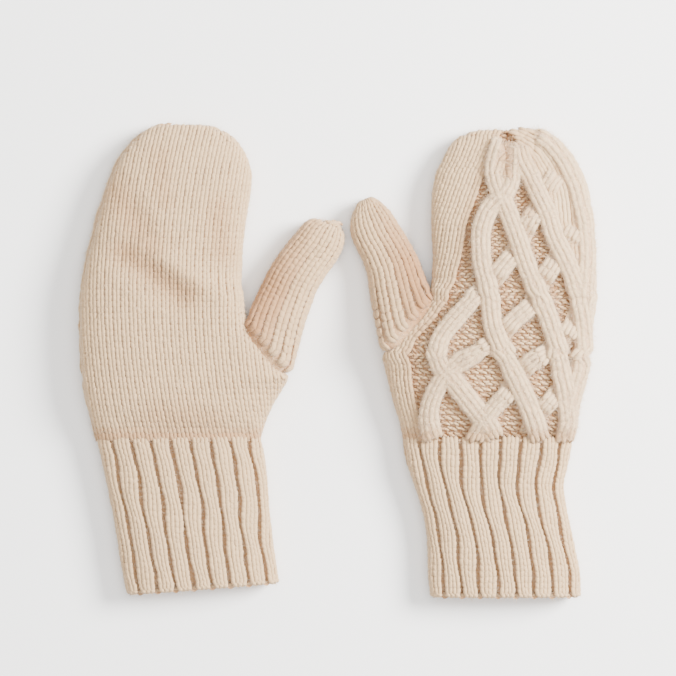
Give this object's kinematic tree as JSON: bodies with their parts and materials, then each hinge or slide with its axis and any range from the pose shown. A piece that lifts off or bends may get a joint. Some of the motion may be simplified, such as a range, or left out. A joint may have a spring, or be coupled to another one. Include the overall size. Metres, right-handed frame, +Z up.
{
  "type": "knitted mittens",
  "caption": "Pair of chunky knitted wool mittens lying flat, one palm up and one back up, with ribbed cuffs, plain palms and a lattice of raised cables on the backs.",
  "frame": {"origin": "centre of the pair on the table, below the middle of its bounding box", "axes": "+X across the pair from the palm-up mitten to the back-up one, +Y from the cuffs to the fingertips, +Z up off the table"},
  "size_m": [0.284, 0.263, 0.0292],
  "materials": {
    "plain_knit": "brushed oatmeal wool in stocking stitch, matt",
    "purl_ground": "brushed oatmeal wool in purl stitch, matt",
    "cable_rope": "brushed oatmeal wool in raised cable stitch, matt",
    "ribbing": "brushed oatmeal wool in two by two rib, matt",
    "joining_yarn": "oatmeal wool yarn drawn tight, matt"
  },
  "bodies": {
    "palm_up_hand": {"palm_up_plain_hand": "plain_knit", "palm_up_cabled_hand": "purl_ground", "palm_up_ropes_hand": "cable_rope", "palm_up_thumb_seam": "joining_yarn"},
    "palm_up_fingers": {"palm_up_plain_fingers": "plain_knit", "palm_up_cabled_fingers": "purl_ground", "palm_up_ropes_fingers": "cable_rope", "palm_up_tip_closure": "joining_yarn"},
    "palm_up_thumb": {"palm_up_thumb": "plain_knit", "palm_up_thumb_tip": "joining_yarn"},
    "palm_up_cuff": {"palm_up_cuff": "ribbing", "palm_up_cuff_edge": "ribbing"},
    "back_up_hand": {"back_up_plain_hand": "plain_knit", "back_up_cabled_hand": "purl_ground", "back_up_ropes_hand": "cable_rope", "back_up_thumb_seam": "joining_yarn"},
    "back_up_fingers": {"back_up_plain_fingers": "plain_knit", "back_up_cabled_fingers": "purl_ground", "back_up_ropes_fingers": "cable_rope", "back_up_tip_closure": "joining_yarn"},
    "back_up_thumb": {"back_up_thumb": "plain_knit", "back_up_thumb_tip": "joining_yarn"},
    "back_up_cuff": {"back_up_cuff": "ribbing", "back_up_cuff_edge": "ribbing"}
  },
  "joints": [
    {"name": "palm_up_knuckle_fold", "type": "hinge", "parent": "palm_up_hand", "child": "palm_up_fingers", "pos_m": [-0.0973, 0.044, 0.0295], "axis": [1, 0, 0], "range_deg": [0, 60]},
    {"name": "palm_up_wrist_fold", "type": "hinge", "parent": "palm_up_hand", "child": "palm_up_cuff", "pos_m": [-0.0882, -0.0442, 0.022], "axis": [-1, 0, 0], "range_deg": [0, 45]},
    {"name": "palm_up_thumb_swing", "type": "hinge", "parent": "palm_up_hand", "child": "palm_up_thumb", "pos_m": [-0.0505, 0.021, 0.013], "axis": [0, 0, 1], "range_deg": [0, 22]},
    {"name": "back_up_lift", "type": "slide", "parent": "palm_up_hand", "child": "back_up_hand", "axis": [0, 0, 1], "range_m": [0, 0.15]},
    {"name": "back_up_knuckle_fold", "type": "hinge", "parent": "back_up_hand", "child": "back_up_fingers", "pos_m": [0.097, 0.044, 0.0305], "axis": [1, 0, 0], "range_deg": [0, 40]},
    {"name": "back_up_wrist_fold", "type": "hinge", "parent": "back_up_hand", "child": "back_up_cuff", "pos_m": [0.0827, -0.0442, 0.0255], "axis": [-1, 0, 0], "range_deg": [0, 45]},
    {"name": "back_up_thumb_swing", "type": "hinge", "parent": "back_up_hand", "child": "back_up_thumb", "pos_m": [0.0515, 0.036, 0.013], "axis": [0, 0, -1], "range_deg": [0, 16]}
  ]
}
